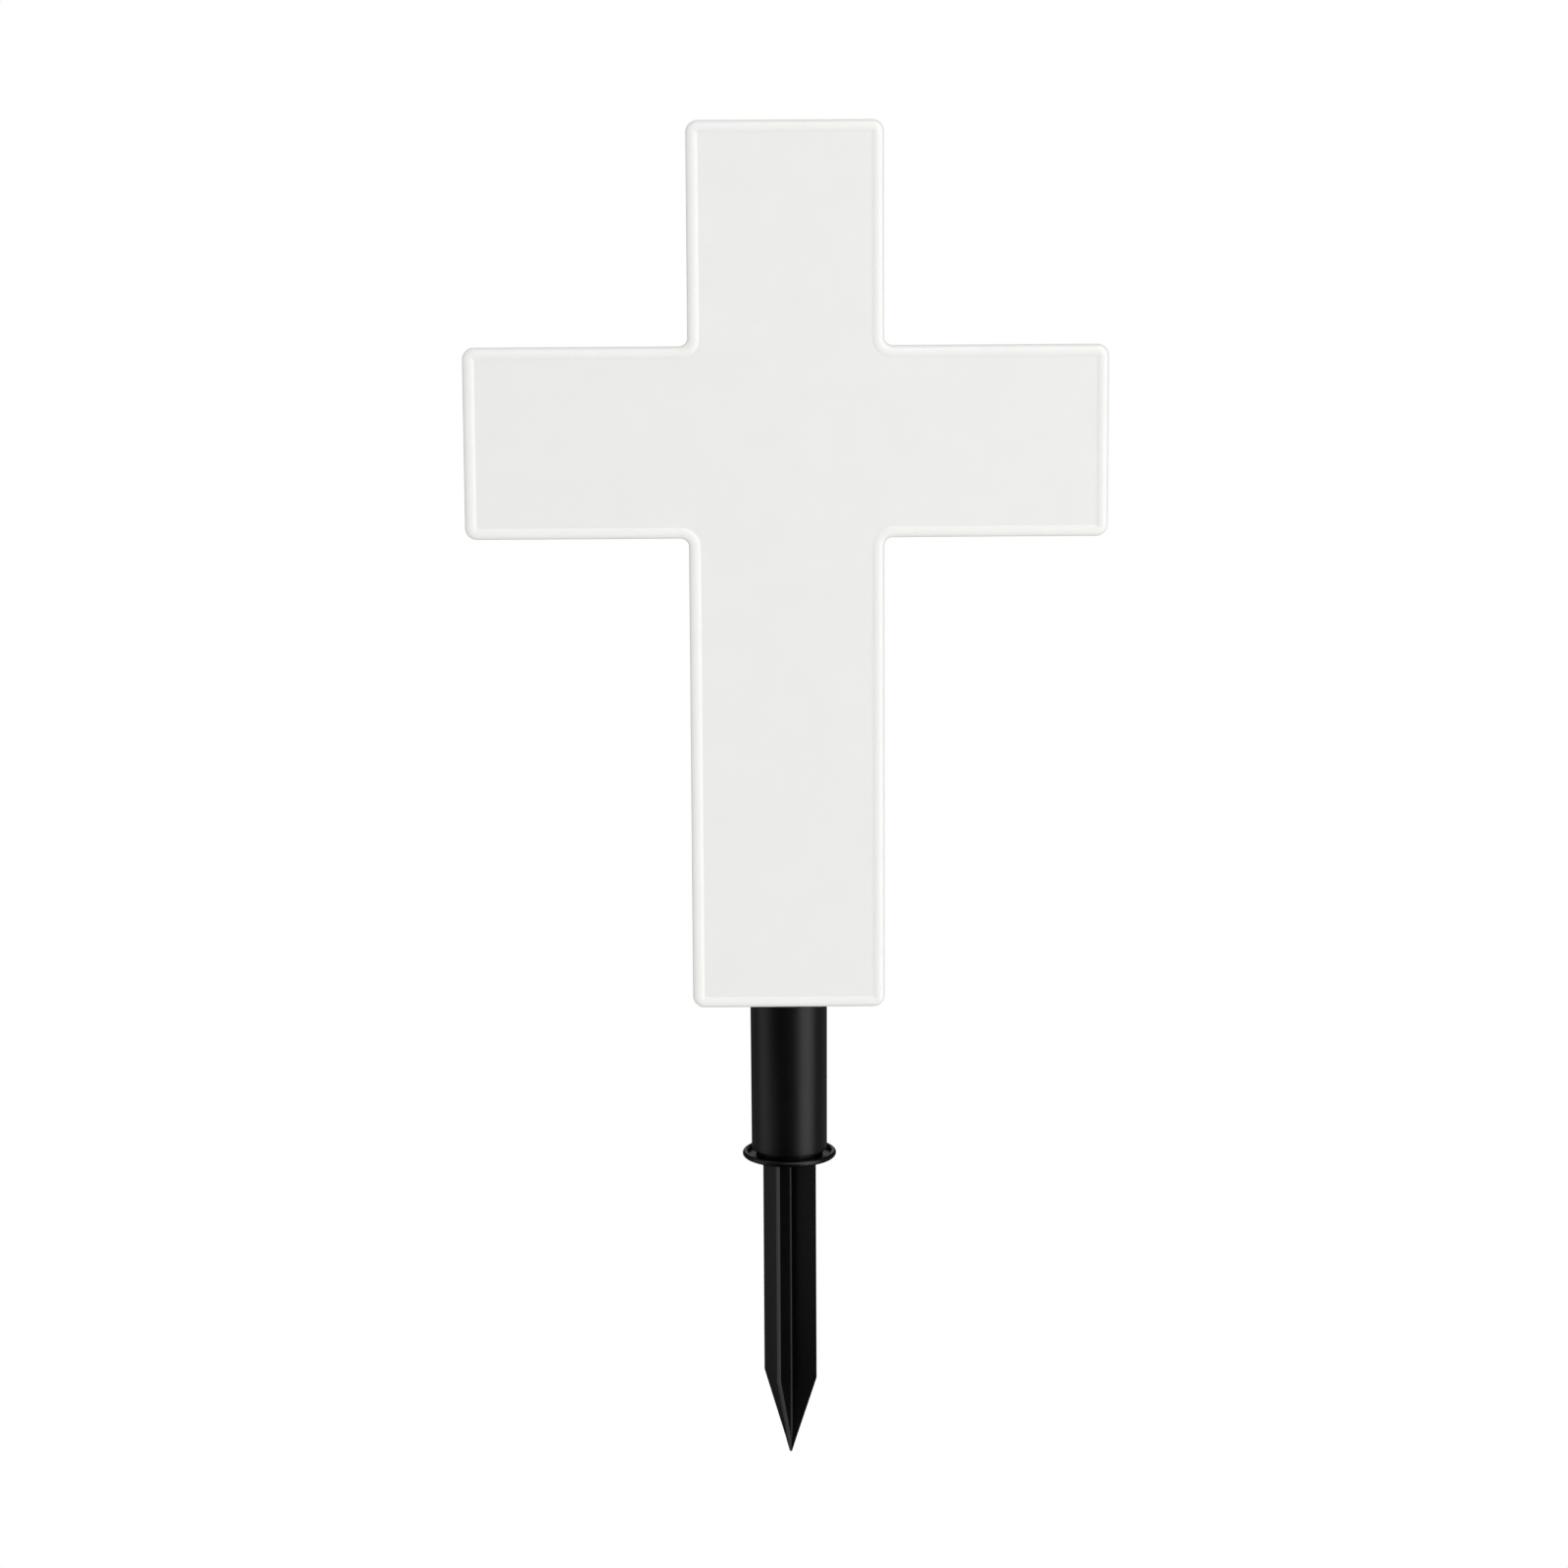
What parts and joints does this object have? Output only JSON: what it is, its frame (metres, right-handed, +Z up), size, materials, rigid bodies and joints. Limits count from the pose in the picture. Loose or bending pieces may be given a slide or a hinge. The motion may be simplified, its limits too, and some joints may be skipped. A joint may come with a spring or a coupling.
{
  "type": "grave marker cross",
  "caption": "Plain white garden grave marker: a cross with a raised round rim on a short black tube, with a collar and a pointed black spike that is pushed into the ground.",
  "frame": {"origin": "on the stake's axis at the ground line, which is the flat underside of the collar", "axes": "+Z up through the tube and the cross, +X to the right as seen from the front, -Y towards the front panel"},
  "size_m": [0.2578, 0.0388, 0.5591],
  "materials": {
    "white_plastic": "satin",
    "black_tube": "satin",
    "black_stake": "satin"
  },
  "bodies": {
    "root": {"cross_body": "white_plastic", "tube": "black_tube", "ground_stake": "black_stake"}
  },
  "joints": []
}
